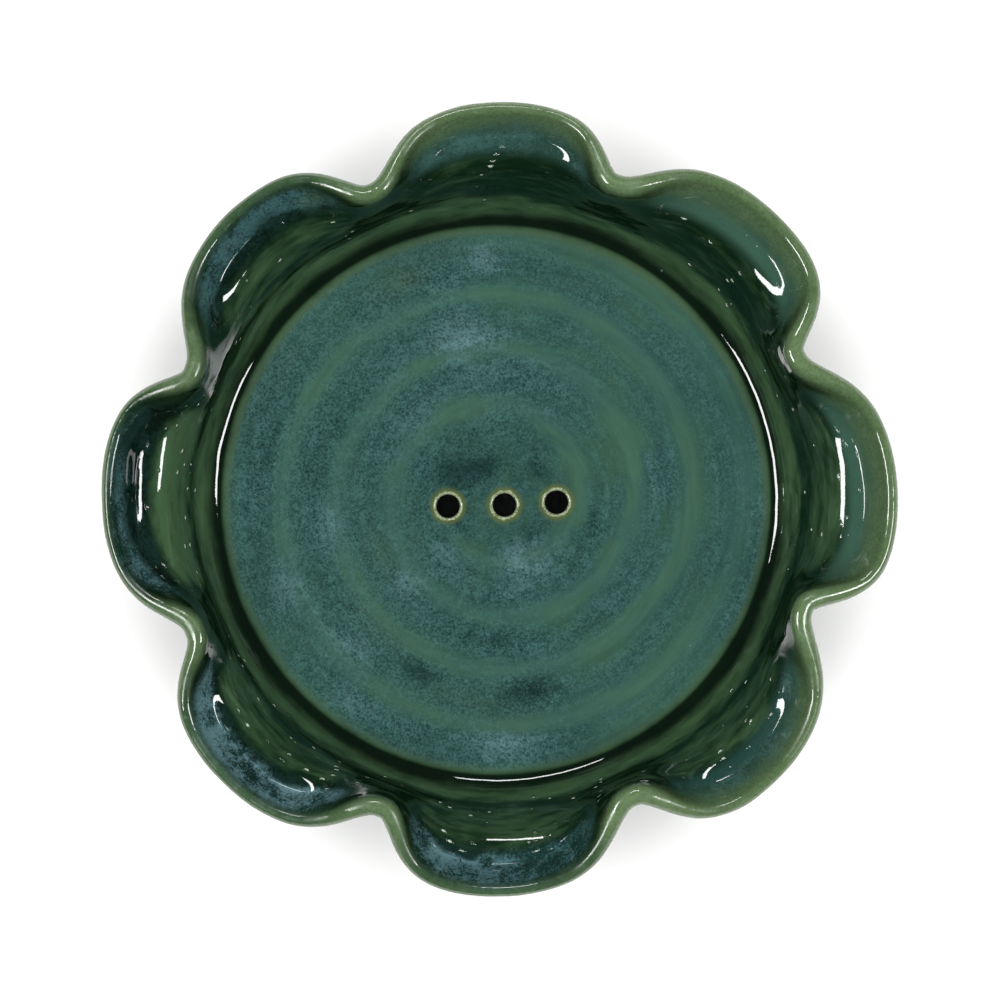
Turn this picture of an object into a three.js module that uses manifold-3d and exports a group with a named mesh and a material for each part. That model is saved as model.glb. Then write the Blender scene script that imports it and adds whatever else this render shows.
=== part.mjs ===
// Flower frog: a wheel-thrown stoneware dish whose rim is pinched into eight petals, with three stem
// holes in a row through its floor. It stands on a thrown foot ring with four small pads under it.
// Units are millimetres and +Z is up. The origin lies on the table, under the middle of the dish.

import * as THREE from "three";
import { mergeVertices } from "three/addons/utils/BufferGeometryUtils.js";
import Module from "manifold-3d";

// Heights, from the table up.
const PAD_HEIGHT = 1.8;
const FOOT_HEIGHT = 3.4;
const FLOOR_THICKNESS = 4.2;
const UNDERSIDE_Z = PAD_HEIGHT + FOOT_HEIGHT;
const FLOOR_Z = UNDERSIDE_Z + FLOOR_THICKNESS;

// The lip's middle line: a circle of this radius, drawn in by eight notches. Each notch points at an
// angle in degrees from +X and has a depth, and it falls off within a half-width in degrees on each
// side: before, clockwise of it, and after, counterclockwise. The hand that pinched it left them uneven.
const PETAL_REACH = 69.9;
const NOTCH_POWER = 2.5;
const NOTCHES = [
  { at: 26.0, depth: 12.1, before: 8.2, after: 5.4 },
  { at: 70.0, depth: 10.7, before: 8.2, after: 5.3 },
  { at: 112.5, depth: 11.3, before: 7.3, after: 6.6 },
  { at: 157.5, depth: 11.4, before: 9.0, after: 5.5 },
  { at: 203.0, depth: 11.6, before: 7.3, after: 7.4 },
  { at: 249.0, depth: 11.9, before: 7.7, after: 5.6 },
  { at: 294.0, depth: 12.7, before: 7.9, after: 6.8 },
  { at: 340.5, depth: 13.2, before: 9.3, after: 4.9 },
];
const NOTCH_SPREAD = 0.8; // how much wider, as a share, a notch is where it dies out at the wall's foot

// Two sections through the middle of the wall, as radius and height, from its foot to its lip. One
// stands nearly upright in a notch. The other, in a petal, leans out to a hollow pressed by a finger
// and turns up again at the lip. Every other section is a mix of the two.
const NOTCH_SECTION = [
  [52.6, 7.6],
  [55.0, 11.5],
  [56.1, 15.6],
  [56.6, 19.6],
  [56.9, 23.3],
  [57.2, 26.6],
  [57.4, 29.5],
];
const PETAL_SECTION = [
  [52.6, 7.6],
  [55.6, 12.0],
  [57.9, 16.4],
  [60.4, 19.9],
  [63.4, 21.9],
  [66.3, 23.6],
  [68.8, 26.3],
];
const NOTCH_EDGE = NOTCH_SECTION.at(-1)[0];
const PETAL_EDGE = PETAL_SECTION.at(-1)[0];

// The finger sank each hollow by a further cup, centred a share of the way up the wall. The cups are
// shallowest in the direction turned to, in degrees, and deepest opposite it. The spread widens the
// notches for the cup alone, so that it is deepest in the middle of the petal and dies out beside it.
const CUP = { depth: 3.0, swing: 0.9, shallowest: 40, up: 0.78, width: 0.14, spread: 1.8 };

// The lip sways up and down by this much, twice in a turn.
const LIP_SWAY = 0.4;
const LIP_SWAY_TURN = 50;

// Wall thickness at the foot of the wall, at the lip in a petal and at the lip in a notch.
const FOOT_THICKNESS = 4.4;
const PETAL_LIP = 2.4;
const NOTCH_LIP = 3.7;

const FLOOR_FLAT_RADIUS = 48.6; // the floor is flat inside this, and a shallow groove runs round it
const UNDERSIDE_FLAT_RADIUS = 49.5;

// The stem holes, in a row that the potter set a little off square.
const HOLE_RADIUS = 2.1;
const HOLE_PLACES = [
  [-9.3, -1.1],
  [0.8, -0.9],
  [10.1, -0.4],
];

const FOOT_RING = { inner: 40.0, outer: 46.5, taper: 0.6, bevel: 0.7 };
const PAD = { radius: 3.0, flat: 2.3, edge: 0.7, shoulder: 0.15, count: 4, turn: 45 };
const PAD_CIRCLE = (FOOT_RING.inner + FOOT_RING.outer) / 2;

// Fineness of the mesh.
const TURN_STEPS = 144;
const WALL_STEPS = 9;
const LIP_STEPS = 5;
const HOLE_SEGMENTS = 24;
const FOOT_SEGMENTS = 72;
const PAD_SEGMENTS = 24;

const GLAZE = { color: 0x2c4f45, roughness: 0.12, metalness: 0 };
const BARE_CLAY = { color: 0x9a7f63, roughness: 0.85, metalness: 0 };
const SILICONE = { color: 0xb9bdb8, roughness: 0.5, metalness: 0 };

const radians = THREE.MathUtils.degToRad;
const mix = THREE.MathUtils.lerp;

const wasm = await Module();
wasm.setup();

// Radius of the notched circle at an angle in degrees. A widen of 1 gives the lip itself.
function edgeRadius(angle, widen) {
  let radius = PETAL_REACH;
  for (const notch of NOTCHES) {
    const away = THREE.MathUtils.euclideanModulo(angle - notch.at + 180, 360) - 180;
    const width = widen * (away < 0 ? notch.before : notch.after);
    radius -= notch.depth / (1 + Math.pow(Math.abs(away) / width, NOTCH_POWER));
  }
  return radius;
}

// How far a direction belongs to a petal: 0 in a notch of usual depth, 1 in the middle of a petal.
function petalShare(angle, widen) {
  return (edgeRadius(angle, widen) - NOTCH_EDGE) / (PETAL_EDGE - NOTCH_EDGE);
}

const notchCurve = new THREE.SplineCurve(NOTCH_SECTION.map(([r, z]) => new THREE.Vector2(r, z)));
const petalCurve = new THREE.SplineCurve(PETAL_SECTION.map(([r, z]) => new THREE.Vector2(r, z)));

// A point in the middle of the wall: up runs from 0 at the wall's foot to 1 at the lip.
function wallMiddle(up, angle) {
  const share = petalShare(angle, 1 + NOTCH_SPREAD * (1 - up));
  const section = notchCurve.getPoint(up).lerp(petalCurve.getPoint(up), share);
  const depth = CUP.depth - CUP.swing * Math.cos(radians(angle - CUP.shallowest));
  const middle = petalShare(angle, CUP.spread);
  const cup = depth * middle * Math.exp(-(((up - CUP.up) / CUP.width) ** 2));
  const sway = LIP_SWAY * up * up * Math.sin(radians(2 * angle + LIP_SWAY_TURN));
  const turn = radians(angle);
  return new THREE.Vector3(
    section.x * Math.cos(turn),
    section.x * Math.sin(turn),
    section.y - cup + sway,
  );
}

// The wall's directions at a point: upward along it, and out through its outer face.
function wallFrame(up, angle) {
  const step = 0.004;
  const sidestep = 0.2;
  const low = Math.max(up - step, 0);
  const high = Math.min(up + step, 1);
  const upward = wallMiddle(high, angle).sub(wallMiddle(low, angle)).normalize();
  const ahead = wallMiddle(up, angle + sidestep);
  const behind = wallMiddle(up, angle - sidestep);
  const around = ahead.sub(behind).normalize();
  const outward = new THREE.Vector3().crossVectors(around, upward).normalize();
  return { upward, outward };
}

function wallThickness(up, angle) {
  const share = THREE.MathUtils.clamp(petalShare(angle, 1), 0, 1);
  return mix(FOOT_THICKNESS, mix(NOTCH_LIP, PETAL_LIP, share), up);
}

// A point on the wall's skin: a lean of -90 degrees is the inner face, 0 the top of the lip's round
// bead and 90 the outer face.
function wallSkin(up, angle, lean) {
  const { upward, outward } = wallFrame(up, angle);
  const half = wallThickness(up, angle) / 2;
  return wallMiddle(up, angle)
    .addScaledVector(outward, half * Math.sin(radians(lean)))
    .addScaledVector(upward, half * Math.cos(radians(lean)));
}

function angleAt(step, steps) {
  return (360 * step) / steps;
}

function ring(pointAt) {
  return Array.from({ length: TURN_STEPS }, (_, i) => pointAt(angleAt(i, TURN_STEPS)));
}

function flatRing(radius, z) {
  return ring((angle) => {
    const turn = radians(angle);
    return new THREE.Vector3(radius * Math.cos(turn), radius * Math.sin(turn), z);
  });
}

// A closed skin through rings of equal count, from a middle point on top to one underneath.
function skinThrough(rings, topZ, bottomZ) {
  const points = [new THREE.Vector3(0, 0, topZ), ...rings.flat(), new THREE.Vector3(0, 0, bottomZ)];
  const last = points.length - 1;
  const faces = [];
  for (let i = 0; i < TURN_STEPS; i++) {
    const next = (i + 1) % TURN_STEPS;
    faces.push(0, 1 + i, 1 + next);
    for (let k = 0; k + 1 < rings.length; k++) {
      const inside = 1 + k * TURN_STEPS;
      const outside = inside + TURN_STEPS;
      faces.push(inside + i, outside + i, outside + next);
      faces.push(inside + i, outside + next, inside + next);
    }
    const rim = 1 + (rings.length - 1) * TURN_STEPS;
    faces.push(rim + i, last, rim + next);
  }
  return new THREE.BufferGeometry().setFromPoints(points).setIndex(faces);
}

function solidFrom(geometry) {
  const bare = geometry.clone();
  bare.deleteAttribute("normal");
  bare.deleteAttribute("uv");
  const merged = mergeVertices(bare, 1e-4);
  return new wasm.Manifold(
    new wasm.Mesh({
      numProp: 3,
      vertProperties: new Float32Array(merged.attributes.position.array),
      triVerts: new Uint32Array(merged.index.array),
    }),
  );
}

function geometryFrom(solid) {
  const mesh = solid.getMesh();
  const geometry = new THREE.BufferGeometry();
  geometry.setAttribute("position", new THREE.BufferAttribute(mesh.vertProperties, mesh.numProp));
  geometry.setIndex(new THREE.BufferAttribute(mesh.triVerts, 1));
  geometry.computeVertexNormals();
  return geometry;
}

function dishBlank() {
  const rings = [flatRing(FLOOR_FLAT_RADIUS / 2, FLOOR_Z), flatRing(FLOOR_FLAT_RADIUS, FLOOR_Z)];
  for (let i = 0; i <= WALL_STEPS; i++) {
    rings.push(ring((angle) => wallSkin(i / WALL_STEPS, angle, -90)));
  }
  for (let i = 1; i < LIP_STEPS; i++) {
    rings.push(ring((angle) => wallSkin(1, angle, -90 + (180 * i) / LIP_STEPS)));
  }
  for (let i = WALL_STEPS; i >= 0; i--) {
    rings.push(ring((angle) => wallSkin(i / WALL_STEPS, angle, 90)));
  }
  rings.push(flatRing(UNDERSIDE_FLAT_RADIUS, UNDERSIDE_Z));
  rings.push(flatRing(UNDERSIDE_FLAT_RADIUS / 2, UNDERSIDE_Z));
  return skinThrough(rings, FLOOR_Z, UNDERSIDE_Z);
}

function stemDrill([x, y]) {
  const length = 3 * FLOOR_THICKNESS;
  const drill = new THREE.CylinderGeometry(HOLE_RADIUS, HOLE_RADIUS, length, HOLE_SEGMENTS);
  return drill.rotateX(Math.PI / 2).translate(x, y, (FLOOR_Z + UNDERSIDE_Z) / 2);
}

function dishGeometry() {
  let solid = solidFrom(dishBlank());
  for (const place of HOLE_PLACES) solid = solid.subtract(solidFrom(stemDrill(place)));
  return geometryFrom(solid);
}

function turned(profile, segments) {
  const points = profile.map(([r, z]) => new THREE.Vector2(r, z));
  return new THREE.LatheGeometry(points, segments).rotateX(Math.PI / 2);
}

// The foot ring tapers towards the table, and its two lower edges are bevelled.
function footRingGeometry() {
  const { inner, outer, taper, bevel } = FOOT_RING;
  const middle = (inner + outer) / 2;
  const height = FOOT_HEIGHT;
  const profile = [
    [inner, height],
    [inner + taper, bevel],
    [inner + taper + bevel, 0],
    [middle, 0],
    [outer - taper - bevel, 0],
    [outer - taper, bevel],
    [outer, height],
    [inner, height],
  ];
  return turned(profile, FOOT_SEGMENTS);
}

// A moulded bumper with a flat sole and a softened edge.
function padGeometry() {
  const profile = [
    [0, 0],
    [PAD.flat, 0],
    [PAD.radius - PAD.shoulder, PAD.edge / 2],
    [PAD.radius, PAD.edge],
    [PAD.radius, PAD_HEIGHT],
    [0, PAD_HEIGHT],
  ];
  return turned(profile, PAD_SEGMENTS);
}

function piece(name, geometry, look) {
  const mesh = new THREE.Mesh(geometry, new THREE.MeshStandardMaterial(look));
  mesh.name = name;
  return mesh;
}

const flowerFrog = new THREE.Group();
flowerFrog.add(piece("dish", dishGeometry(), GLAZE));

const footRing = piece("foot_ring", footRingGeometry(), BARE_CLAY);
footRing.position.z = PAD_HEIGHT;
flowerFrog.add(footRing);

for (let i = 0; i < PAD.count; i++) {
  const pad = piece(`foot_pad_${i + 1}`, padGeometry(), SILICONE);
  const turn = radians(PAD.turn + angleAt(i, PAD.count));
  pad.position.set(PAD_CIRCLE * Math.cos(turn), PAD_CIRCLE * Math.sin(turn), 0);
  flowerFrog.add(pad);
}

export default flowerFrog;
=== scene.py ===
import math

import bpy
import numpy as np
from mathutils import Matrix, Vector, noise
from mathutils.geometry import delaunay_2d_cdt


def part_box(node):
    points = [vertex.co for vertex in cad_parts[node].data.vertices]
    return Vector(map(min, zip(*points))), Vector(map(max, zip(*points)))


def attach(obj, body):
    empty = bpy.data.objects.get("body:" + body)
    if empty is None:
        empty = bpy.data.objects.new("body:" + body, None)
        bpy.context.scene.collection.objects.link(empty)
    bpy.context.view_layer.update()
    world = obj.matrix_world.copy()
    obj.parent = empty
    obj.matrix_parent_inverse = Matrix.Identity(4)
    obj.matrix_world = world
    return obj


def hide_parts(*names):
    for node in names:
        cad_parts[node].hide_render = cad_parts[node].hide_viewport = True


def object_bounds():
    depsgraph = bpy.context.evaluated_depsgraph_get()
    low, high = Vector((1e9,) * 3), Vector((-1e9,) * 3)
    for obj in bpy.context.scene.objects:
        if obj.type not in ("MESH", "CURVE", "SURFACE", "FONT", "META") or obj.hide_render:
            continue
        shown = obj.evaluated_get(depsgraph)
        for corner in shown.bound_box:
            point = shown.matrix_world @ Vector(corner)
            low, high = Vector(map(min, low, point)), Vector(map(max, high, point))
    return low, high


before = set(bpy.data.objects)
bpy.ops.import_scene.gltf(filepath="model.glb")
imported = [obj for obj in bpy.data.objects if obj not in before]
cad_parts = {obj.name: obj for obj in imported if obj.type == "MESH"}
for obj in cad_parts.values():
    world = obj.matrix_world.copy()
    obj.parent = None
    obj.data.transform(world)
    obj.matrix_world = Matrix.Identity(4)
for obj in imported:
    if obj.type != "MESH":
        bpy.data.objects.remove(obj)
cad_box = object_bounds()

# A hand-thrown stoneware flower frog with a petal rim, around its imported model. Shapes are worked out
# in millimetres and angles in degrees, and become metres when a mesh is made.
MM = 0.001

# Heights. The underside is where the frame has it.
UNDERSIDE_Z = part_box("dish")[0].z / MM
FLOOR_THICKNESS = 4.2
FLOOR_Z = UNDERSIDE_Z + FLOOR_THICKNESS

# The lip's middle line, drawn in by eight notches: direction, depth, and half-width before and after.
PETAL_REACH = 69.9
NOTCH_POWER = 2.5
NOTCHES = [
    (26.0, 12.1, 8.2, 5.4),
    (70.0, 10.7, 8.2, 5.3),
    (112.5, 11.3, 7.3, 6.6),
    (157.5, 11.4, 9.0, 5.5),
    (203.0, 11.6, 7.3, 7.4),
    (249.0, 11.9, 7.7, 5.6),
    (294.0, 12.7, 7.9, 6.8),
    (340.5, 13.2, 9.3, 4.9),
]
NOTCH_SPREAD = 0.8

# The middle of the wall in a notch and in a petal, as radius and height, from its foot to its lip.
NOTCH_SECTION = [
    (52.6, 7.6), (55.0, 11.5), (56.1, 15.6), (56.6, 19.6), (56.9, 23.3), (57.2, 26.6), (57.4, 29.5),
]
PETAL_SECTION = [
    (52.6, 7.6), (55.6, 12.0), (57.9, 16.4), (60.4, 19.9), (63.4, 21.9), (66.3, 23.6), (68.8, 26.3),
]
NOTCH_EDGE = NOTCH_SECTION[-1][0]
PETAL_EDGE = PETAL_SECTION[-1][0]

# The bowl that a finger sank in the middle of each petal, and the slow sway of the lip's height.
CUP_DEPTH, CUP_SWING, CUP_SHALLOWEST = 3.0, 0.9, 40
CUP_UP, CUP_WIDTH, CUP_SPREAD = 0.78, 0.14, 1.8
LIP_SWAY, LIP_SWAY_TURN = 0.4, 50

FOOT_THICKNESS, PETAL_LIP, NOTCH_LIP = 4.4, 2.4, 3.7
UNDERSIDE_FLAT_RADIUS = 49.5

HOLE_RADIUS = 2.1
HOLE_PLACES = [(-9.3, -1.1), (0.8, -0.9), (10.1, -0.4)]
HOLE_ROUND = 0.45  # radius of the glaze over the edge of a hole
HOLE_HALO = 1.25  # how far past its rounding a hole's thin glaze fades out

# Relief left by the wheel and the hands.
RING_CENTRE = (-1.7, 1.0)
RING_START, RING_PITCH = 16.3, 9.9  # the spiral's radius at +X, and how far it winds out in a turn
RING_LEAVES, RING_BEND = 135, 1.25  # it keeps its radius up to this direction, and then winds out
RING_RISE = 0.1
RING_FADES_IN, RING_FADES_OUT = (7.0, 12.0), (43.0, 48.0)
FLOOR_EVENS_OUT = (46.0, 49.0)
FILLET_RUN, FILLET_SOFTNESS = 6.2, 1.45
FOOT_OFFSET = -0.7  # how far the crease round the floor lies along X from the middle of the dish
GROOVE_RADIUS, GROOVE_WIDTH, GROOVE_DEPTH = 49.9, 0.8, 0.06
HAND_RELIEF, HAND_RELIEF_SIZE = 0.16, 13.0
GLAZE_RELIEF, GLAZE_RELIEF_SIZE = 0.08, 5.0
WALL_RINGS, WALL_RING_PITCH = 0.03, 2.9

# The crease between these radii is painted near-black, partly pooled glaze and partly painted shade. Faint
# rings lie just outside it.
CREASE_STARTS, CREASE_ENDS = (48.6, 49.4), (52.8, 50.3)
RINGS_START, RINGS_END, FAINT_RING_PITCH = (50.7, 51.3), (54.0, 52.0), 1.3
FLOOR_LOOK_ENDS = (47.6, 49.6)

FOOT_RING_WIDTH = 6.5

# Clouds in the glaze of the floor: distance from the middle, direction, half-width, half-length round
# the wheel, and strength.
CLOUD_SPREAD = 1.25
PALE_CLOUDS = [
    (11.0, 296, 3.0, 3.5, 0.9), (12.0, 240, 3.5, 6.0, 0.4), (43.0, 94, 2.2, 2.4, 0.8),
    (29.5, 104, 4.0, 7.0, 0.7), (42.0, 203, 2.6, 4.0, 0.6), (44.0, 235, 2.4, 4.0, 0.4),
    (22.5, 222, 2.2, 3.0, 0.4), (43.0, 270, 2.0, 5.0, 0.6), (20.0, 130, 3.0, 6.0, 0.3),
    (31.0, 190, 2.4, 3.0, 0.5), (37.0, 225, 2.0, 3.0, 0.5),
]
DARK_CLOUDS = [
    (9.8, 150, 2.6, 3.4, 1.0), (6.2, 112, 2.0, 3.4, 1.0), (8.4, 38, 1.8, 2.0, 0.9),
    (25.5, 265, 2.0, 8.0, 0.6), (34.0, 244, 1.8, 3.6, 0.9), (34.5, 279, 2.4, 4.4, 0.9),
    (37.0, 262, 2.0, 6.0, 0.4), (33.0, 172, 2.0, 14.0, 0.4), (17.0, 345, 1.8, 7.0, 0.5),
    (8.0, 318, 1.8, 2.8, 0.7), (8.6, 205, 1.8, 2.6, 0.7), (29.0, 312, 1.8, 7.0, 0.3),
    (42.5, 172, 1.8, 6.0, 0.5), (18.5, 262, 1.6, 5.0, 0.3),
]
OLIVE_CLOUDS = [
    (43.0, 115, 1.6, 3.5, 0.9), (16.5, 104, 1.5, 2.4, 0.8), (23.0, 205, 1.8, 3.6, 0.6),
    (31.0, 228, 1.8, 7.0, 0.5), (40.0, 276, 1.1, 3.6, 0.8), (36.0, 262, 1.4, 5.0, 0.3),
    (46.0, 95, 1.2, 16.0, 0.5), (45.5, 140, 1.2, 10.0, 0.4),
]

TURN_STEPS = 480
FLOOR_SPACING, UNDERSIDE_SPACING = 1.1, 2.4
HOLE_STEPS = 40
HOLE_COLLARS = (0.35, 0.8, 1.4)  # distances from a hole's rounding of the rings of points round it

LAMP_DISTANCE = 1.25
STRIP_RADIANCE, FILL_RADIANCE, ROOM_RADIANCE = 22.0, 10.4, 0.4
STRIP_RISE, FILL_RISE, ROOM_RISE = 48, 54, 16  # how high the lamps stand, as elevations
ROOM_TINT = (0.6, 1.0, 0.75)
ROOM_DARK = (0.04, 0.042, 0.045, 1)
CAMERA_HEIGHT = 1.0
PICTURE_SHARE = 0.7975  # how much of the picture's width the dish takes
LIP_DROP = 0.004  # how far below its top the lip reaches out furthest
STAGE_HALF = 0.75

# How bright a white surface would look in the studio on the floor of the dish and on its wall.
FLOOR_LIGHT, WALL_LIGHT = 2.02, 1.58


# ---------------------------------------------------------------- the dish's shape

def smooth(low, high, value):
    t = np.clip((value - low) / (high - low), 0, 1)
    return t * t * (3 - 2 * t)


def soft_max(a, b, softness):
    return (a + b + np.sqrt((a - b) ** 2 + 4 * softness**2)) / 2


def edge_radius(angle, widen):
    radius = np.full(np.shape(angle), PETAL_REACH)
    for at, depth, before, after in NOTCHES:
        away = (angle - at + 180) % 360 - 180
        width = widen * np.where(away < 0, before, after)
        radius -= depth / (1 + (np.abs(away) / width) ** NOTCH_POWER)
    return radius


def petal_share(angle, widen):
    return (edge_radius(angle, widen) - NOTCH_EDGE) / (PETAL_EDGE - NOTCH_EDGE)


def on_curve(points, up):
    """Point on the Catmull-Rom curve through points, with up from 0 to 1."""
    along = up * (len(points) - 1)
    i = min(int(along), len(points) - 2)
    w = along - i
    last = len(points) - 1
    before, a, b, after = (np.array(points[k]) for k in (max(i - 1, 0), i, i + 1, min(i + 2, last)))
    rise_a, rise_b = (b - before) / 2, (after - a) / 2
    cubic = 2 * a - 2 * b + rise_a + rise_b
    square = 3 * b - 3 * a - 2 * rise_a - rise_b
    return cubic * w**3 + square * w**2 + rise_a * w + a


def wall_middle(up, angle):
    share = petal_share(angle, 1 + NOTCH_SPREAD * (1 - up))
    notch, petal = on_curve(NOTCH_SECTION, up), on_curve(PETAL_SECTION, up)
    radius = notch[0] + (petal[0] - notch[0]) * share
    depth = CUP_DEPTH - CUP_SWING * np.cos(np.radians(angle - CUP_SHALLOWEST))
    cup = depth * petal_share(angle, CUP_SPREAD) * math.exp(-(((up - CUP_UP) / CUP_WIDTH) ** 2))
    sway = LIP_SWAY * up * up * np.sin(np.radians(2 * angle + LIP_SWAY_TURN))
    height = notch[1] + (petal[1] - notch[1]) * share - cup + sway
    turn = np.radians(angle)
    return np.stack([radius * np.cos(turn), radius * np.sin(turn), height], axis=-1)


def unit(vectors):
    return vectors / np.linalg.norm(vectors, axis=-1, keepdims=True)


def wall_frame(up, angle):
    step, turn_step = 0.004, 0.2
    upward = unit(wall_middle(min(up + step, 1), angle) - wall_middle(max(up - step, 0), angle))
    around = unit(wall_middle(up, angle + turn_step) - wall_middle(up, angle - turn_step))
    return upward, unit(np.cross(around, upward))


def wall_skin(up, angle, lean):
    """The wall's skin: a lean of -90 is its inner face, 0 the top of the lip and 90 its outer face."""
    upward, outward = wall_frame(up, angle)
    share = np.clip(petal_share(angle, 1), 0, 1)
    half = (FOOT_THICKNESS + (NOTCH_LIP + (PETAL_LIP - NOTCH_LIP) * share - FOOT_THICKNESS) * up) / 2
    tilt = math.radians(lean)
    return wall_middle(up, angle) + half[:, None] * (outward * math.sin(tilt) + upward * math.cos(tilt))


def relief(points, size, seed):
    """Smooth wander between about -1 and 1 over the points, with bumps of that size."""
    offset = Vector((seed * 7.3, seed * 3.1, seed * 5.7))
    return np.array([noise.noise(Vector(p) / size + offset) for p in points]) * 1.6


def ring_crest(x, y):
    """The spiral that the fingers left on the floor: 1 on its ridge and below 0 beside it."""
    dx, dy = x - RING_CENTRE[0], y - RING_CENTRE[1]
    turn = np.degrees(np.arctan2(dy, dx)) % 360
    wound = np.clip((turn - RING_LEAVES) / (360 - RING_LEAVES), 0, 1) ** RING_BEND
    radius = np.hypot(dx, dy)
    wave = np.cos(2 * np.pi * ((radius - RING_START) / RING_PITCH - wound))
    ridge = 1.6 * ((1 + wave) / 2) ** 2 - 0.6
    return ridge * smooth(*RING_FADES_IN, radius) * (1 - 0.6 * smooth(*RING_FADES_OUT, radius))


def floor_height(x, y):
    share = 1 - smooth(*FLOOR_EVENS_OUT, np.hypot(x, y))
    return FLOOR_Z - 0.05 + RING_RISE * ring_crest(x, y) * share


def clouds(x, y, places):
    """How strongly each point lies in the clouds, which lie round the wheel."""
    radius, turn = np.hypot(x, y), np.arctan2(y, x)
    total = np.zeros(len(x))
    for at, direction, across, along, strength in places:
        aside = (turn - math.radians(direction) + np.pi) % (2 * np.pi) - np.pi
        away = ((radius - at) / (across * CLOUD_SPREAD)) ** 2 + (aside * at / (along * CLOUD_SPREAD)) ** 2
        total += strength * np.exp(-away)
    return total


class Skin:
    """Gathers patches of points, faces and per-point values, and welds them into one mesh."""

    VALUES = (
        "floor", "thin", "lip", "hollow", "up", "outside",
        "crest", "pale", "dark", "olive", "bore", "petal_middle",
    )

    def __init__(self):
        self.points, self.faces, self.values = [], [], []
        self.count = 0

    def add(self, points, faces, **values):
        self.points.append(points)
        self.faces += [tuple(int(i) + self.count for i in face) for face in faces]
        self.values.append([np.broadcast_to(values.get(name, 0.0), len(points)) for name in self.VALUES])
        self.count += len(points)

    def add_rows(self, rows, **values):
        """A strip through loops of equal count."""
        n = len(rows[0])
        faces = [
            (k * n + i, (k + 1) * n + i, (k + 1) * n + (i + 1) % n, k * n + (i + 1) % n)
            for k in range(len(rows) - 1)
            for i in range(n)
        ]
        self.add(np.concatenate(rows), faces, **values)

    def mesh(self, name):
        points = np.concatenate(self.points)
        values = np.concatenate([np.array(v) for v in self.values], axis=1)
        _, first, where = np.unique(np.round(points, 3), axis=0, return_index=True, return_inverse=True)
        where = where.reshape(-1)
        faces = []
        for face in self.faces:
            corners = list(dict.fromkeys(int(where[i]) for i in face))
            if len(corners) > 2:
                faces.append(corners)
        mesh = bpy.data.meshes.new(name)
        mesh.from_pydata((points[first] * MM).tolist(), [], faces)
        mesh.validate()
        for value_name, column in zip(self.VALUES, values):
            layer = mesh.attributes.new(value_name, "FLOAT", "POINT")
            layer.data.foreach_set("value", column[first].astype(np.float32))
        mesh.shade_smooth()
        return mesh


def ring_points(centre, radius, steps):
    turn = 2 * np.pi * np.arange(steps) / steps
    return np.stack([centre[0] + radius * np.cos(turn), centre[1] + radius * np.sin(turn)], axis=-1)


def plate(rim, spacing):
    """Points and triangles of a round plate with the three holes, inside a rim loop of x, y points."""
    hole_edge = HOLE_RADIUS + HOLE_ROUND
    loops = [rim] + [ring_points(place, hole_edge, HOLE_STEPS) for place in HOLE_PLACES]
    edges, count = [], 0
    for loop in loops:
        edges += [(count + i, count + (i + 1) % len(loop)) for i in range(len(loop))]
        count += len(loop)
    inner = [ring_points(place, hole_edge + gap, HOLE_STEPS) for place in HOLE_PLACES for gap in HOLE_COLLARS]
    outer_radius = np.hypot(*rim.T).min()
    for k in range(int((outer_radius - spacing * 0.6) / spacing)):
        radius = spacing * (k + 0.6)
        around = ring_points((0, 0), radius, max(6, round(2 * math.pi * radius / spacing)))
        clear = np.min([np.hypot(*(around - place).T) for place in HOLE_PLACES], axis=0)
        inner.append(around[clear > hole_edge + HOLE_COLLARS[-1] + 0.4 * spacing])
    flat = np.concatenate(loops + inner)
    made, _, faces, _, _, _ = delaunay_2d_cdt([Vector(p) for p in flat.tolist()], edges, [], 0, 1e-5)
    assert np.allclose([tuple(p) for p in made], flat, atol=1e-3)
    middles = np.array([flat[list(face)].mean(axis=0) for face in faces])
    clear = np.min([np.hypot(*(middles - place).T) for place in HOLE_PLACES], axis=0)
    chord = hole_edge * math.cos(math.pi / HOLE_STEPS)
    return flat, [face for face, gap in zip(faces, clear) if gap > chord]


def hole_nearness(x, y):
    """1 at the edge of a hole, falling to 0 where its thin glaze ends."""
    gap = np.min([np.hypot(x - px, y - py) for px, py in HOLE_PLACES], axis=0) - HOLE_RADIUS - HOLE_ROUND
    return 1 - np.clip(gap / HOLE_HALO, 0, 1)


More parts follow.
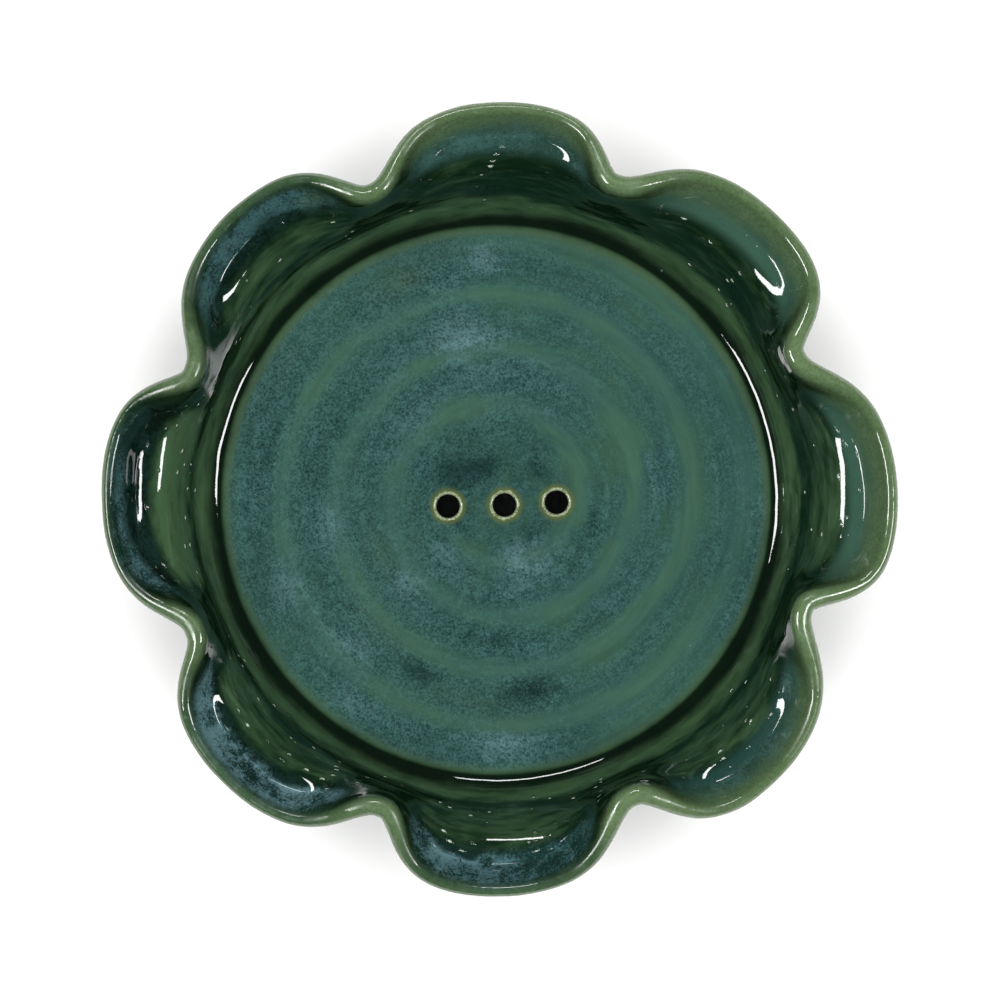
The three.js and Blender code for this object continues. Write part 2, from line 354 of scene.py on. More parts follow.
def wall_rows(angle):
    """Loops from the edge of the floor over the lip to the flat underside, with the values of each."""
    share = np.clip(petal_share(angle, 1), 0, 1)
    rows, values = [], []

    def add(row, up, lip, inside):
        row = np.array(row)
        floor = 0 * share
        hollow = 0 * share
        if inside:
            row[:, 0] += FOOT_OFFSET * (1 - smooth(0.0, 0.4, up))
            row[:, 2] = soft_max(row[:, 2], floor_height(row[:, 0], row[:, 1]), FILLET_SOFTNESS)
            radius = np.hypot(row[:, 0] - FOOT_OFFSET, row[:, 1])
            row[:, 2] -= GROOVE_DEPTH * np.exp(-(((radius - GROOVE_RADIUS) / GROOVE_WIDTH) ** 2))
            floor = 1 - smooth(*FLOOR_LOOK_ENDS, radius)
            hollow = share * math.exp(-(((up - 0.8) / 0.2) ** 2))
        rows.append(row)
        values.append((floor, lip, hollow, up, 0.0 if inside else 1.0, share))

    # The lip value is the way along the skin, in millimetres, from the outermost edge of the lip.
    foot = wall_skin(0, angle, -90)
    foot_upward = wall_frame(0, angle)[0]
    for run in np.linspace(FILLET_RUN, 0, 14, endpoint=False):
        add(foot - run * foot_upward, 0, 30, True)
    wall_length, bead_length, edge_lean = 24.0, 3.2, 45
    for up in np.linspace(0, 1, 52, endpoint=False):
        add(wall_skin(up, angle, -90), up, bead_length + (1 - up) * wall_length, True)
    for lean in np.linspace(-90, 90, 15):
        add(wall_skin(1, angle, lean), 1, bead_length * abs(edge_lean - lean) / (90 + edge_lean), lean < 0)
    for up in np.linspace(1, 0, 40)[1:]:
        add(wall_skin(up, angle, 90), up, 1.1 + (1 - up) * wall_length, False)

    # The corner under the wall is a bend from the outer face to the flat underside.
    start = rows[-1]
    upward = wall_frame(0, angle)[0]
    reach = (start[:, 2] - UNDERSIDE_Z) / upward[:, 2]
    corner = start - reach[:, None] * upward
    turn = np.radians(angle)
    end = np.stack([np.cos(turn), np.sin(turn), 0 * turn], axis=-1) * UNDERSIDE_FLAT_RADIUS
    end[:, 2] = UNDERSIDE_Z
    for t in np.linspace(0, 1, 9)[1:]:
        add((1 - t) ** 2 * start + 2 * t * (1 - t) * corner + t * t * end, 0, 30, False)

    return rows, values


def handled(rows, ups):
    """The points of the loops. Hands leave the wall a little uneven, and the wheel leaves faint rings
    low on it."""
    grid = np.array(rows)
    around = np.roll(grid, -1, axis=1) - np.roll(grid, 1, axis=1)
    normals = unit(np.cross(np.gradient(grid, axis=0), around)).reshape(-1, 3)
    points = grid.reshape(-1, 3)
    free = smooth(UNDERSIDE_FLAT_RADIUS, UNDERSIDE_FLAT_RADIUS + 3.5, np.hypot(points[:, 0], points[:, 1]))
    push = HAND_RELIEF * relief(points, HAND_RELIEF_SIZE, 1)
    push += GLAZE_RELIEF * relief(points, GLAZE_RELIEF_SIZE, 2)
    push += WALL_RINGS * np.sin(2 * np.pi * points[:, 2] / WALL_RING_PITCH) * (1 - smooth(0.25, 0.6, ups))
    push *= 1 - 0.5 * smooth(0.85, 1.0, ups)
    return points + normals * (push * free)[:, None]


def add_wall(skin):
    """Adds the wall, and returns the loops at its two ends."""
    rows, values = wall_rows(360 * np.arange(TURN_STEPS) / TURN_STEPS)
    columns = {}
    for i, name in enumerate(("floor", "lip", "hollow", "up", "outside", "petal_middle")):
        columns[name] = np.concatenate([np.broadcast_to(v[i], TURN_STEPS) for v in values])
    points = handled(rows, columns["up"])
    rows = np.split(points, len(rows))
    skin.add_rows(rows, **floor_values(points[:, 0], points[:, 1]), **columns)
    return rows[0], rows[-1]


def floor_values(x, y):
    places = {"pale": PALE_CLOUDS, "dark": DARK_CLOUDS, "olive": OLIVE_CLOUDS}
    return {"crest": ring_crest(x, y), **{name: clouds(x, y, listed) for name, listed in places.items()}}


def add_plates(skin, top_rim, under_rim):
    flat, faces = plate(top_rim[:, :2], FLOOR_SPACING)
    x, y = flat.T
    points = np.stack([x, y, floor_height(x, y)], axis=-1)
    heights = {tuple(np.round(p[:2], 3)): p[2] for p in top_rim}
    for i, place in enumerate(np.round(flat, 3)):
        points[i, 2] = heights.get(tuple(place), points[i, 2])
    skin.add(points, faces, floor=1.0, lip=30.0, thin=hole_nearness(x, y), **floor_values(x, y))

    flat, faces = plate(under_rim[:, :2], UNDERSIDE_SPACING)
    x, y = flat.T
    points = np.stack([x, y, np.full(len(x), UNDERSIDE_Z)], axis=-1)
    skin.add(points, [face[::-1] for face in faces], outside=1.0, lip=30.0, thin=hole_nearness(x, y) * 0.7)


def add_holes(skin):
    for place in HOLE_PLACES:
        rows, thin, bore = [], [], []
        edge = ring_points(place, HOLE_RADIUS + HOLE_ROUND, HOLE_STEPS)
        top = floor_height(edge[:, 0], edge[:, 1])

        def add(radius, height, share, thinness, inner):
            ring = ring_points(place, radius, HOLE_STEPS)
            level = (top * share + UNDERSIDE_Z * (1 - share)) + height
            rows.append(np.column_stack([ring, level]))
            thin.append(np.full(HOLE_STEPS, thinness))
            bore.append(np.full(HOLE_STEPS, inner))

        for turn in np.radians(np.linspace(0, 90, 8)):
            drop = HOLE_ROUND * (1 - math.cos(turn))
            add(HOLE_RADIUS + HOLE_ROUND * (1 - math.sin(turn)), -drop, 1, 1.0, 0.0 if turn < 1.4 else 0.6)
        for depth in (0.7, 1.4, 2.2, 3.0):
            add(HOLE_RADIUS + 0.03 * math.sin(depth * 3), -depth, 1, 0.3, 1.0)
        for turn in np.radians(np.linspace(90, 0, 6)):
            drop = HOLE_ROUND * (1 - math.cos(turn))
            add(HOLE_RADIUS + HOLE_ROUND * (1 - math.sin(turn)), drop, 0, 0.6, math.sin(turn))
        for listed in (rows, thin, bore):
            listed.reverse()
        skin.add_rows(rows, thin=np.concatenate(thin), bore=np.concatenate(bore), floor=1.0, lip=30.0)


def make_dish():
    skin = Skin()
    top_rim, under_rim = add_wall(skin)
    add_plates(skin, top_rim, under_rim)
    add_holes(skin)
    return place_piece("glazed_dish", skin.mesh("glazed_dish"), glaze_material(), "dish")


# ---------------------------------------------------------------- the foot and its pads

def lathe_mesh(name, profile, steps, centre=(0.0, 0.0), wobble=0.0):
    """A turned solid from a profile of radius and height points. Ends on the axis are closed by a point."""
    turn = 2 * np.pi * np.arange(steps) / steps
    skin = Skin()
    rows = []
    for radius, height in profile:
        uneven = radius * (1 + wobble * np.sin(turn + 1.0) + 0.6 * wobble * np.sin(3 * turn))
        x, y = centre[0] + uneven * np.cos(turn), centre[1] + uneven * np.sin(turn)
        rows.append(np.column_stack([x, y, np.full(steps, height)]))
    skin.add_rows(rows[::-1])
    return skin.mesh(name)


def arc(centre, radius, start, end, steps):
    return [
        (centre[0] + radius * math.cos(math.radians(a)), centre[1] + radius * math.sin(math.radians(a)))
        for a in np.linspace(start, end, steps)
    ]


def make_foot_ring():
    low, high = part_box("foot_ring")
    outer = (high.x - low.x) / 2 / MM
    inner = outer - FOOT_RING_WIDTH
    bottom, top = low.z / MM, high.z / MM
    taper, soft = 0.6, 0.8
    profile = [(inner, top), (inner + taper * 0.6, top - 1.2)]
    profile += arc((inner + taper + soft, bottom + soft), soft, 180, 270, 8)
    profile += [(inner + 2.6, bottom + 0.02), (inner + 3.2, bottom + 0.12), (inner + 3.8, bottom + 0.02)]
    profile += arc((outer - taper - soft, bottom + soft), soft, 270, 360, 8)
    profile += [(outer - taper * 0.6, top - 1.2), (outer - 0.1, top - 0.5), (outer, top), (inner, top)]
    mesh = lathe_mesh("bare_foot_ring", profile, 320, wobble=0.0008)
    return place_piece("bare_foot_ring", mesh, clay_material(), "foot_ring")


def make_pad(number, material):
    node = f"foot_pad_{number}"
    low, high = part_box(node)
    middle = (low + high) / 2 / MM
    radius = (high.x - low.x) / 2 / MM
    bottom, top = low.z / MM, high.z / MM
    sole = radius * 0.72
    profile = [(0.0, bottom + 0.12), (0.5, bottom + 0.12), (0.7, bottom)]
    profile += [(sole * 0.6, bottom), (sole, bottom)]
    profile += arc((sole, bottom + 0.75), 0.75, 290, 345, 6)
    profile += [(radius - 0.04, bottom + 0.95), (radius, bottom + 1.15), (radius, top - 0.12)]
    profile += [(radius - 0.12, top), (0.0, top)]
    mesh = lathe_mesh(f"silicone_pad_{number}", profile, 64, centre=(middle.x, middle.y))
    return place_piece(f"silicone_pad_{number}", mesh, material, node)


def place_piece(name, mesh, material, node):
    piece = bpy.data.objects.new(name, mesh)
    bpy.context.collection.objects.link(piece)
    mesh.materials.append(material)
    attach(piece, "root")
    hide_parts(node)
    return piece


# ---------------------------------------------------------------- materials

class Shader:
    """Builds a material's node tree with short calls. Values may be numbers, colours or sockets."""

    def __init__(self, name):
        self.material = bpy.data.materials.new(name)
        self.material.use_nodes = True
        self.tree = self.material.node_tree
        self.tree.nodes.clear()
        self.place = self.node("ShaderNodeTexCoord").outputs["Object"]

    def node(self, kind, inputs=(), **settings):
        made = self.tree.nodes.new(kind)
        for key, value in settings.items():
            setattr(made, key, value)
        for key, value in dict(inputs).items():
            socket = made.inputs[key]
            if isinstance(value, bpy.types.NodeSocket):
                self.tree.links.new(value, socket)
            else:
                socket.default_value = value
        return made

    def math(self, operation, a, b=0.0, clamp=False):
        made = self.node("ShaderNodeMath", {0: a, 1: b}, operation=operation, use_clamp=clamp)
        return made.outputs[0]

    def add(self, a, b):
        return self.math("ADD", a, b)

    def times(self, a, b):
        return self.math("MULTIPLY", a, b)

    def mix(self, share, a, b, blend="MIX"):
        made = self.node("ShaderNodeMix", data_type="RGBA", blend_type=blend)
        for index, value in ((0, share), (6, a), (7, b)):
            socket = made.inputs[index]
            if isinstance(value, bpy.types.NodeSocket):
                self.tree.links.new(value, socket)
            elif index:
                socket.default_value = (*value, 1.0)
            else:
                socket.default_value = value
        return made.outputs[2]

    def step(self, value, low, high):
        """0 up to low and 1 from high, smooth between. A high below low turns it round."""
        turned = high < low
        made = self.node(
            "ShaderNodeMapRange",
            {
                "Value": value,
                "From Min": min(low, high),
                "From Max": max(low, high),
                "To Min": 1.0 if turned else 0.0,
                "To Max": 0.0 if turned else 1.0,
            },
            interpolation_type="SMOOTHSTEP",
        )
        return made.outputs[0]

    def step_mm(self, value, low, high):
        """The same for a length, with its ends in millimetres."""
        return self.step(value, low * MM, high * MM)

    def off_middle(self, noise_value, strength):
        """A noise as a swing about zero."""
        return self.times(self.add(noise_value, -0.5), strength)

    def leaning(self, x, y, part_x, part_y):
        return self.add(self.times(x, part_x), self.times(y, part_y))

    def join(self, x, y, z):
        return self.node("ShaderNodeCombineXYZ", {0: x, 1: y, 2: z}).outputs[0]

    def darken(self, look, value):
        return self.mix(1.0, look, self.grey(value), "MULTIPLY")

    def grey(self, value):
        return self.node("ShaderNodeCombineColor", {0: value, 1: value, 2: value}).outputs[0]

    def value(self, name):
        return self.node("ShaderNodeAttribute", attribute_name=name).outputs["Fac"]

    def noise(self, size_mm, detail=2.0, roughness=0.5, distortion=0.0, place=None):
        inputs = {
            "Vector": place or self.place,
            "Scale": 1000.0 / size_mm,
            "Detail": detail,
            "Roughness": roughness,
            "Distortion": distortion,
        }
        return self.node("ShaderNodeTexNoise", inputs).outputs["Fac"]

    def cells(self, size_mm, place=None):
        inputs = {"Vector": place or self.place, "Scale": 1000.0 / size_mm}
        made = self.node("ShaderNodeTexVoronoi", inputs)
        return made.outputs["Distance"], made.outputs["Color"]

    def bump(self, height, depth_mm, normal=None):
        inputs = {"Height": height, "Distance": depth_mm * MM, "Strength": 1.0}
        if normal:
            inputs["Normal"] = normal
        return self.node("ShaderNodeBump", inputs).outputs["Normal"]

    def finish(self, **inputs):
        shader = self.node("ShaderNodeBsdfPrincipled", {k.replace("_", " "): v for k, v in inputs.items()})
        self.node("ShaderNodeOutputMaterial", {"Surface": shader.outputs[0]})
        return self.material


def rgb(red, green, blue):
    """A display colour, 0 to 255, as the linear light that a shader takes."""
    shown = (red / 255, green / 255, blue / 255)
    return tuple(c / 12.92 if c <= 0.04045 else ((c + 0.055) / 1.055) ** 2.4 for c in shown)


def glaze(red, green, blue):
    """The glaze colour that looks like this on the brightly lit floor of the dish."""
    return tuple(c / FLOOR_LIGHT for c in rgb(red, green, blue))


def wall_glaze(red, green, blue):
    return tuple(c / WALL_LIGHT for c in rgb(red, green, blue))


class Glaze(Shader):
    """The dish's glaze. The mesh says where its floor, lip, hollows and holes are, and noises do the rest."""

    def __init__(self):
        super().__init__("green_glaze")
        (
            self.floor, self.thin, self.lip, self.hollow, self.up, self.outside,
            self.crest, self.pale, self.dark, self.olive, self.bore, self.petal_middle,
        ) = map(self.value, Skin.VALUES)
        self.inside = self.math("SUBTRACT", 1.0, self.outside)
        self.lay_out_places()
        self.lay_out_noises()

        # The glaze ran towards one side of the kiln shelf, where it pools and turns blue.
        settled = self.step(self.leaning(self.x, self.y, -0.95 / 0.06, -0.31 / 0.06), -0.9, 1.0)
        self.shade = self.step(self.add(settled, self.off_middle(self.cloud, 0.6)), 0.34, 0.6)
        self.leeward = self.step_mm(self.x, 24, -20)
        self.left_side = self.step(self.round_x, -0.75, -0.98)
        self.worn = self.add(self.lip, self.off_middle(self.noise(2.2, detail=3), 1.6))
        blue = self.leaning(self.grain, self.coarse, 0.6, 0.4)
        self.blue_grain = self.step(self.add(blue, self.off_middle(self.patch, 0.8)), 0.36, 0.62)

    def lay_out_places(self):
        """Distances from the middle of the dish and of its foot, and the direction round the wheel."""
        self.x, self.y, self.z = self.node("ShaderNodeSeparateXYZ", {"Vector": self.place}).outputs
        self.away = self.distance(self.x, self.y)
        self.foot_away = self.distance(self.add(self.x, -FOOT_OFFSET * MM), self.y)
        self.round_x = self.math("DIVIDE", self.x, self.away)
        self.round_y = self.math("DIVIDE", self.y, self.away)

    def distance(self, x, y):
        return self.math("SQRT", self.add(self.times(x, x), self.times(y, y)))

    def lay_out_noises(self):
        self.cloud = self.noise(15, detail=3, roughness=0.6)
        self.patch = self.noise(6, detail=4, roughness=0.6, distortion=0.4)
        self.coarse = self.noise(1.7, detail=3, roughness=0.6, distortion=0.5)
        self.grain = self.noise(0.44, detail=2, roughness=0.6, distortion=0.8)
        self.fine = self.noise(0.3, detail=1)
        wheel = self.join(self.away, self.times(self.round_x, 0.003), self.times(self.round_y, 0.003))
        self.lines = self.noise(1.1, detail=4, roughness=0.6, place=wheel)
        slow_wheel = self.join(self.away, self.times(self.round_x, 0.008), self.times(self.round_y, 0.008))
        self.bands = self.noise(5.0, detail=3, roughness=0.55, place=slow_wheel)

    def dragged_place(self, round_scale, other, other_scale):
        """Noise space that is drawn out round the wheel, or along the other value."""
        round_x, round_y = self.times(self.round_x, round_scale), self.times(self.round_y, round_scale)
        return self.join(round_x, round_y, self.times(other, other_scale))

    def floor_look(self):
        """Smooth grey-green where the glaze is thin, and a grain of slate-blue crystals over nearly
        black glass where it is thick."""
        dark = self.times(self.dark, 0.8)
        wander = self.add(self.off_middle(self.cloud, 1.6), self.off_middle(self.patch, 0.9))
        wander = self.add(wander, self.off_middle(self.lines, 0.8))
        wander = self.add(wander, self.off_middle(self.bands, 1.6))
        thick = self.add(self.times(self.leeward, 0.5), 0.3)
        thick = self.add(thick, self.times(self.add(wander, self.off_middle(self.coarse, 0.7)), 0.75))
        thick = self.add(thick, self.leaning(self.pale, dark, 0.55, 0.9))
        thick = self.add(thick, self.times(self.leaning(self.crest, self.olive, 0.7, 0.8), -0.5))
        thick = self.step(thick, -0.1, 1.1)

        tint = self.add(self.cloud, self.times(self.leeward, 0.1))
        green_or_blue = self.step(self.add(self.bands, self.times(tint, 0.5)), 0.6, 0.9)
        smooth_green = self.mix(green_or_blue, glaze(66, 104, 86), glaze(56, 97, 89))
        deep_share = self.step(self.add(dark, self.times(wander, 0.4)), 0.0, 0.9)
        deep = self.mix(deep_share, glaze(34, 70, 64), glaze(16, 44, 40))
        pale_share = self.step(self.add(self.pale, self.times(wander, 0.5)), 0.0, 1.0)
        crystals = self.mix(pale_share, glaze(72, 113, 107), glaze(102, 138, 143))
        crystals = self.mix(self.step(dark, 0.2, 0.9), crystals, glaze(40, 76, 74))
        mottle = self.leaning(self.grain, self.coarse, 0.72, 0.28)
        mottle = self.add(mottle, self.times(self.add(self.pale, self.times(dark, -1.0)), 0.06))
        grained = self.mix(self.step(mottle, 0.34, 0.63), deep, crystals)
        look = self.mix(self.times(thick, 0.95), smooth_green, grained)

        faint = self.add(self.times(self.grain, 0.17), self.leaning(self.coarse, self.lines, 0.18, 0.75))
        ridge = self.times(self.crest, self.add(0.055, self.times(self.leeward, 0.05)))
        look = self.darken(look, self.add(self.add(faint, ridge), 0.45))
        centre = self.step_mm(self.add(self.away, self.off_middle(self.patch, 0.012)), 16.5, 9.0)
        look = self.mix(self.times(centre, 0.2), look, glaze(28, 58, 52))
        look = self.mix(self.math("MULTIPLY", self.crest, 0.16, clamp=True), look, glaze(90, 126, 104))
        look = self.mix(self.math("MULTIPLY", self.olive, 0.35, clamp=True), look, glaze(84, 110, 80))

        # Its edge is olive, most of all on the far side, and then painted dark into the crease: partly pooled
        # glaze, partly painted shade.
        olive_edge = self.add(0.3, self.times(self.step_mm(self.y, -20, 20), 0.35))
        olive_edge = self.times(self.step_mm(self.foot_away, 47.0, 48.2), olive_edge)
        look = self.mix(olive_edge, look, glaze(84, 108, 76))
        dark_edge = self.step_mm(self.foot_away, 48.2, 49.4)
        return self.mix(self.times(dark_edge, 0.8), look, glaze(22, 46, 30))

    def wall_look(self):
        """Dark glassy green with soft streaks dragged round by the wheel."""
        dragged = self.dragged_place(0.0055, self.up, 0.011)
        streak = self.noise(1.0, detail=3, roughness=0.55, place=dragged)
        scratches = self.noise(0.5, detail=2, place=dragged)
        low_band = self.step(self.up, 0.28, 0.1)
        wavering = self.add(self.up, self.off_middle(self.patch, 0.16))
        brow = self.times(self.step(wavering, 0.2, 0.36), self.step(wavering, 0.67, 0.54))
        brow = self.times(brow, self.step(self.petal_middle, 0.35, 0.75))
        far_side = self.step(self.leaning(self.round_x, self.round_y, 0.34, 0.94), 0.45, 0.95)
        strength = self.add(self.add(0.45, self.times(far_side, -0.33)), self.times(self.left_side, 0.42))
        lighter = self.add(self.times(low_band, 0.7), self.times(brow, strength))
        streaks = self.add(self.times(self.add(streak, -0.47), 1.1), self.off_middle(scratches, 0.5))
        lighter = self.step(self.add(lighter, streaks), 0.0, 1.05)
        return self.mix(lighter, wall_glaze(9, 33, 16), wall_glaze(66, 95, 64))

    def hollow_look(self):
        """Blue-black where the glaze pooled, breaking into pale blue crystals near the lip, and
        olive to teal where it is thin."""
        inward = self.add(self.lip, self.off_middle(self.patch, 8.0))
        inward = self.add(inward, self.off_middle(self.cloud, 5.0))
        look = self.mix(self.shade, self.bare_look(inward), self.pooled_look(inward))
        return self.darken(look, self.add(self.leaning(self.grain, self.patch, 0.3, 0.3), 0.7))

    def pooled_look(self, inward):
        near_side = self.step(self.leaning(self.round_x, self.round_y, -0.26, -0.97), 0.0, 1.0)
        upper_left = self.step(self.leaning(self.round_x, self.round_y, -0.7, 0.7), 0.85, 1.0)
        lower_left = self.step(self.leaning(self.round_x, self.round_y, -0.7, -0.7), 0.55, 0.95)
        inward = self.add(inward, self.leaning(near_side, upper_left, -5.5, -2.6))
        inward = self.add(inward, self.times(self.left_side, 1.4))
        bright = self.mix(lower_left, wall_glaze(66, 102, 104), wall_glaze(98, 132, 138))
        crystal = self.mix(self.blue_grain, wall_glaze(24, 52, 48), bright)
        black = self.mix(self.times(self.blue_grain, 0.7), wall_glaze(6, 22, 13), wall_glaze(24, 48, 44))
        return self.mix(self.step(inward, 4.2, 7.0), crystal, black)

    def bare_look(self, inward):
        bluer = self.times(self.step(self.round_y, -0.4, -0.75), 3.5)
        bluer = self.add(bluer, self.times(self.step(self.round_y, 0.85, 1.0), 1.5))
        inward = self.add(inward, bluer)
        look = self.mix(self.step(inward, 4.0, 9.5), wall_glaze(82, 107, 76), wall_glaze(56, 88, 74))
        thin_blue = self.mix(self.blue_grain, wall_glaze(34, 62, 54), wall_glaze(62, 96, 92))
        share = self.times(self.step(inward, 6.0, 10.0), self.step(bluer, 0.0, 1.5))
        look = self.mix(self.times(share, 0.75), look, thin_blue)
        share = self.times(self.step(inward, 10.0, 14.0), self.step(bluer, 0.0, 3.5))
        return self.mix(share, look, wall_glaze(34, 64, 58))

    def outside_look(self):
        """Runs of glaze down the outer face, bluer where they gather at its foot."""
        flow = self.dragged_place(0.06, self.z, 0.22)
        drips = self.noise(3.4, detail=4, roughness=0.55, distortion=0.3, place=flow)
        low_edge = self.step_mm(self.z, UNDERSIDE_Z + 5.0, UNDERSIDE_Z + 1.0)
        deeper = self.add(self.leaning(drips, self.cloud, 1.5, 0.5), self.times(low_edge, 0.22))
        runs = self.mix(self.step(deeper, 0.78, 1.22), wall_glaze(40, 76, 50), wall_glaze(16, 46, 36))
        gathered = self.step(self.add(deeper, self.times(self.grain, 0.4)), 1.25, 1.6)
        return self.mix(self.times(gathered, 0.7), runs, wall_glaze(52, 86, 84))

    def with_crease(self, look):
        """The crease round the floor is painted near-black: partly the deep glaze pooled in it, partly
        painted shade.
        """
        lower_right = self.step_mm(self.add(self.x, self.times(self.y, -1.0)), -20, 80)
        ragged = self.add(self.off_middle(self.bands, 0.003), self.off_middle(self.patch, 0.0012))
        end = self.add(self.foot_away, self.add(self.times(lower_right, -0.0002), ragged))
        crease = self.times(self.step_mm(self.foot_away, *CREASE_STARTS), self.step_mm(end, *CREASE_ENDS))
        return self.mix(self.times(self.times(crease, self.inside), 0.96), look, wall_glaze(3, 18, 8))

    def with_lip(self, look):
        """Thin glaze on the lip shows the clay through it, olive or nearly cream, except where it pooled."""
        reach = self.add(8.0, self.times(self.shade, self.add(-3.4, self.times(self.left_side, -1.8))))
        fade = self.step(self.math("DIVIDE", self.worn, reach), 1.0, 0.1)
        rim = self.mix(self.shade, wall_glaze(90, 114, 77), wall_glaze(70, 97, 66))
        look = self.mix(self.times(fade, 0.95), look, rim)
        edge = self.times(self.step(self.worn, 2.2, 0.6), self.add(0.7, self.times(self.shade, -0.6)))
        look = self.mix(edge, look, wall_glaze(122, 144, 107))
        notched = self.times(self.step(self.hollow, 0.25, 0.0), self.step(self.worn, 4.6, 1.6))
        look = self.mix(self.times(notched, 0.7), look, wall_glaze(98, 122, 84))
        speckle = self.off_middle(self.noise(0.55, detail=3, roughness=0.7), 1.3)
        return self.darken(look, self.add(self.times(speckle, self.step(self.lip, 8.0, 5.0)), 1.0))

    def with_holes(self, look):
        """Thin olive glaze round the holes and cream on their edges, with painted shade down inside: the bore
        is painted nearly black.
        """
        frayed = self.add(self.thin, self.off_middle(self.noise(1.3, detail=2), 0.35))
        halo = self.times(self.step(frayed, 0.1, 0.85), self.floor)
        look = self.mix(self.times(halo, 0.85), look, glaze(98, 112, 64))
        cream = self.step(self.add(frayed, self.off_middle(self.fine, 0.4)), 0.86, 1.08)
        look = self.mix(self.times(cream, self.floor), look, glaze(186, 200, 164))
        return self.mix(self.bore, look, glaze(8, 20, 11))

    def chosen(self, cell, channel, share):
        """1 in the cells whose random colour passes the share."""
        channels = self.node("ShaderNodeSeparateColor", {0: cell}).outputs
        return self.step(channels[channel], share, share + 0.02)

    def with_specks(self, look):
        """A few pale pinholes and specks."""
        distance, cell = self.cells(5.0)
        speck = self.times(self.chosen(cell, 0, 0.7), self.step(distance, 0.06, 0.025))
        return self.mix(self.times(speck, 0.6), look, glaze(120, 150, 140))

    def pimples(self):
        """Clusters of small bumps on the inner face of the wall, drawn out round the wheel."""
        distance, cell = self.cells(1.5, place=self.dragged_place(0.034, self.up, 0.026))
        pimple = self.times(self.step(distance, 0.3, 0.02), self.chosen(cell, 1, 0.42))
        on_wall = self.times(self.step(self.up, 0.08, 0.2), self.step(self.up, 0.8, 0.6))
        on_wall = self.times(on_wall, self.times(self.inside, self.math("SUBTRACT", 1.0, self.floor)))
        return self.times(pimple, self.times(on_wall, self.step(self.noise(9, detail=2), 0.45, 0.53)))

    def gloss(self):
        """Wet glass, satin on the floor's crystals and dull in places on the lip."""
        rough = self.add(0.03, self.times(self.times(self.floor, self.add(self.grain, 0.3)), 0.18))
        wet_side = self.step(self.leaning(self.round_x, self.round_y, 1.0, 0.4), 0.75, 1.0)
        wear = self.add(1.0, self.times(wet_side, -0.9))
        wear = self.times(wear, self.step(self.worn, 6.0, 3.4))
        dull = self.step(self.noise(5, detail=2), 0.35, 0.65)
        rough = self.add(rough, self.times(self.times(wear, dull), 0.3))
        return self.times(rough, self.add(1.0, self.times(self.step(self.thin, 0.7, 0.95), -0.7)))

    def surface(self, pimple):
        """The glaze's own relief: slow waves, an uneven lip, rings outside the crease, pimples and grain."""
        normal = self.bump(self.noise(3.2, detail=1), 0.05)
        uneven_lip = self.times(self.noise(1.3, detail=2), self.step(self.worn, 5.0, 3.0))
        normal = self.bump(uneven_lip, 0.045, normal)
        rings = self.math("SINE", self.times(self.foot_away, 2 * math.pi / (FAINT_RING_PITCH * MM)))
        ringed = self.step_mm(self.foot_away, *RINGS_START)
        ringed = self.times(ringed, self.step_mm(self.foot_away, *RINGS_END))
        ringed = self.times(self.times(ringed, self.inside), self.step(self.bands, 0.35, 0.5))
        normal = self.bump(self.times(rings, ringed), 0.024, normal)
        normal = self.bump(pimple, 0.34, normal)
        return self.bump(self.fine, 0.003, normal)


def glaze_material():
    s = Glaze()
    look = s.mix(s.step(s.hollow, 0.2, 0.62), s.wall_look(), s.hollow_look())
    look = s.mix(s.times(s.outside, 0.95), look, s.outside_look())
    look = s.mix(s.floor, look, s.floor_look())
    for add_detail in (s.with_crease, s.with_lip, s.with_holes, s.with_specks):
        look = add_detail(look)
    pimple = s.pimples()
    # The pimple tops are painted near-white: partly pale clay where the glaze breaks over them, partly
    # painted glints.
    look = s.mix(s.times(s.step(pimple, 0.3, 0.8), 0.95), look, wall_glaze(190, 208, 188))
    return s.finish(Base_Color=look, Roughness=s.gloss(), IOR=1.52, Normal=s.surface(pimple))


def clay_material():
    s = Shader("bare_clay")
    body = s.mix(s.noise(9, detail=4, roughness=0.6), rgb(150, 122, 92), rgb(186, 160, 128))
    grit = s.noise(0.5, detail=2, roughness=0.7)
    body = s.mix(s.times(s.step(grit, 0.6, 0.72), 0.5), body, rgb(96, 74, 54))
    parts = s.node("ShaderNodeSeparateXYZ", {"Vector": s.place}).outputs
    near_glaze = s.step(parts[2], (UNDERSIDE_Z - 1.6) * MM, (UNDERSIDE_Z - 0.3) * MM)
    body = s.mix(s.times(near_glaze, 0.55), body, rgb(112, 72, 44))
    surface = s.bump(grit, 0.05, s.bump(s.noise(2.4, detail=2), 0.08))
    return s.finish(Base_Color=body, Roughness=s.add(0.74, s.times(grit, 0.2)), Normal=surface)


def silicone_material():
    s = Shader("silicone_pad")
    body = s.mix(s.noise(1.8, detail=3), rgb(186, 192, 188), rgb(206, 210, 206))
    dust = s.step(s.noise(0.35, detail=2), 0.62, 0.72)
    body = s.mix(s.times(dust, 0.35), body, rgb(150, 140, 124))
    surface = s.bump(s.noise(0.25, detail=1), 0.006)
    return s.finish(Base_Color=body, Roughness=s.add(0.42, s.times(dust, 0.25)), Normal=surface)


def floor_material():
    s = Shader("studio_floor")
    body = s.mix(s.noise(160, detail=2), rgb(243, 243, 242), rgb(249, 249, 248))
    return s.finish(Base_Color=body, Roughness=0.9, Specular_IOR_Level=0.1)


# ---------------------------------------------------------------- studio

def make_stage():
    half = STAGE_HALF
    mesh = bpy.data.meshes.new("studio_floor")
    corners = [(-half, -half, 0), (half, -half, 0), (half, half, 0), (-half, half, 0)]
    mesh.from_pydata(corners, [], [(0, 1, 2, 3)])
    mesh.materials.append(floor_material())
    floor = bpy.data.objects.new("studio_floor", mesh)
    bpy.context.collection.objects.link(floor)


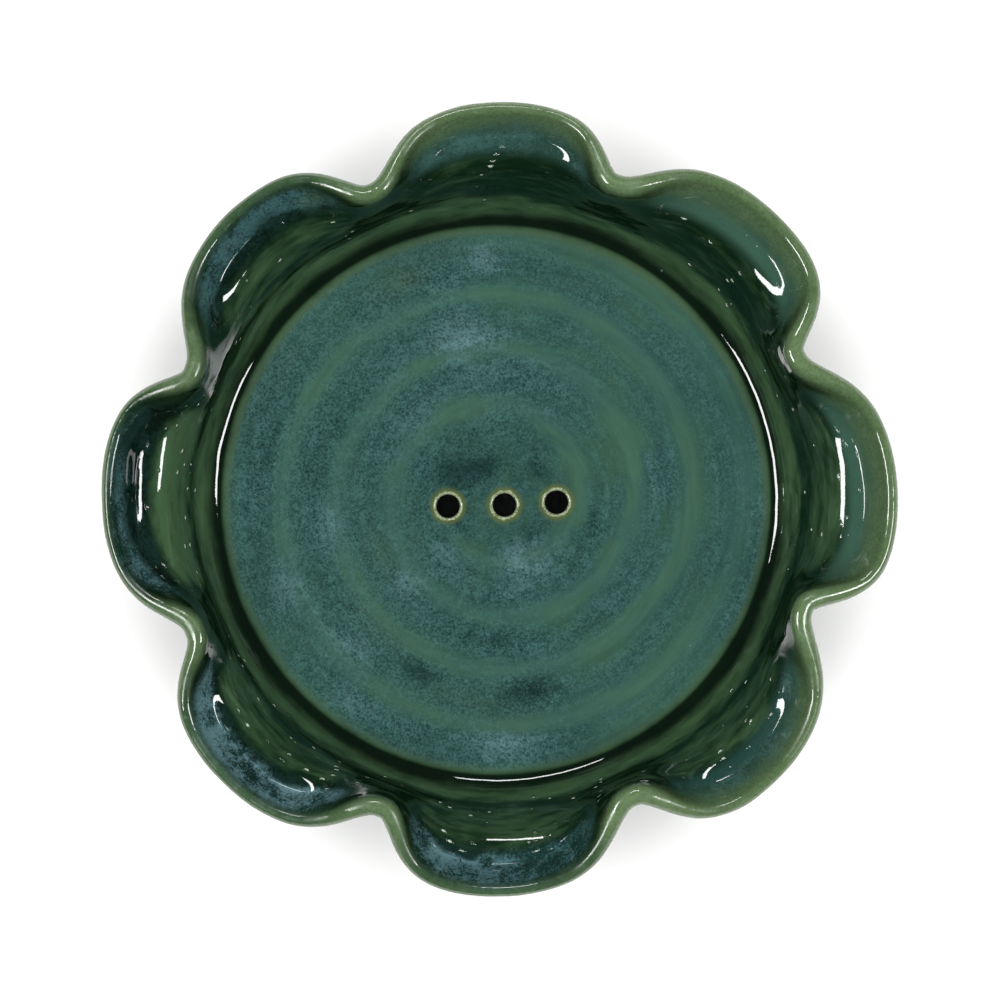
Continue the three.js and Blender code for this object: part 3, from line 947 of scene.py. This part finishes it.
def make_camera():
    """Straight above the dish, so that the petals fill four fifths of the picture."""
    low, high = cad_box
    width = high.x - low.x
    camera = bpy.data.cameras.new("camera")
    camera.sensor_width = 36.0
    lip_distance = CAMERA_HEIGHT - (high.z - LIP_DROP)
    camera.lens = camera.sensor_width * lip_distance / (width / PICTURE_SHARE)
    placed = bpy.data.objects.new("camera", camera)
    placed.location = (0, 0, CAMERA_HEIGHT)
    bpy.context.collection.objects.link(placed)
    bpy.context.scene.camera = placed


def make_light(name, aim, size, radiance, colour=(1, 1, 1), lights=True, mirrored=True):
    """A rectangular lamp aimed at the dish from an azimuth and an elevation. Its brightness is its
    radiance, whatever its size. It can light the dish, be mirrored in it, or both."""
    azimuth, elevation = aim
    width, height = size
    lamp = bpy.data.lights.new(name, "AREA")
    lamp.shape = "RECTANGLE"
    lamp.size = width
    lamp.size_y = height
    lamp.color = colour
    lamp.energy = radiance * math.pi * width * height
    placed = bpy.data.objects.new(name, lamp)
    flat = LAMP_DISTANCE * math.cos(math.radians(elevation))
    turn = math.radians(azimuth)
    rise = LAMP_DISTANCE * math.sin(math.radians(elevation))
    place = Vector((flat * math.cos(turn), flat * math.sin(turn), rise))
    placed.location = place
    placed.rotation_euler = (-place).to_track_quat("-Z", "Y").to_euler()
    placed.visible_glossy = mirrored
    placed.visible_diffuse = lights
    if not lights:
        lamp.cycles.max_bounces = 0
    bpy.context.collection.objects.link(placed)


def make_lights():
    for azimuth in (45, 135, 225, 315):
        make_light(f"fill_{azimuth}", (azimuth, FILL_RISE), (0.8, 0.35), FILL_RADIANCE, mirrored=False)
    for azimuth in (20, 100, 195):
        aim = (azimuth, ROOM_RISE)
        make_light(f"room_{azimuth}", aim, (0.6, 0.26), ROOM_RADIANCE, ROOM_TINT, lights=False)
    make_light("strip_left", (192, STRIP_RISE), (0.64, 0.32), STRIP_RADIANCE, lights=False)
    make_light("strip_right", (346, STRIP_RISE), (0.42, 0.28), STRIP_RADIANCE, lights=False)
    make_light("strip_far", (97, STRIP_RISE), (0.42, 0.14), STRIP_RADIANCE, lights=False)


def make_world():
    """A dim room that the glaze mirrors, behind a white that only the camera sees."""
    world = bpy.data.worlds.new("studio")
    world.use_nodes = True
    nodes, links = world.node_tree.nodes, world.node_tree.links
    nodes.clear()
    seen = nodes.new("ShaderNodeBackground")
    seen.inputs["Color"].default_value = (1, 1, 1, 1)
    unseen = nodes.new("ShaderNodeBackground")
    unseen.inputs["Color"].default_value = ROOM_DARK
    path = nodes.new("ShaderNodeLightPath")
    blend = nodes.new("ShaderNodeMixShader")
    output = nodes.new("ShaderNodeOutputWorld")
    links.new(path.outputs["Is Camera Ray"], blend.inputs[0])
    links.new(unseen.outputs[0], blend.inputs[1])
    links.new(seen.outputs[0], blend.inputs[2])
    links.new(blend.outputs[0], output.inputs[0])
    bpy.context.scene.world = world


bpy.context.scene.view_settings.view_transform = "Standard"
make_camera()
make_stage()
make_lights()
make_world()
make_dish()
make_foot_ring()
pad_material = silicone_material()
for number in range(1, 5):
    make_pad(number, pad_material)
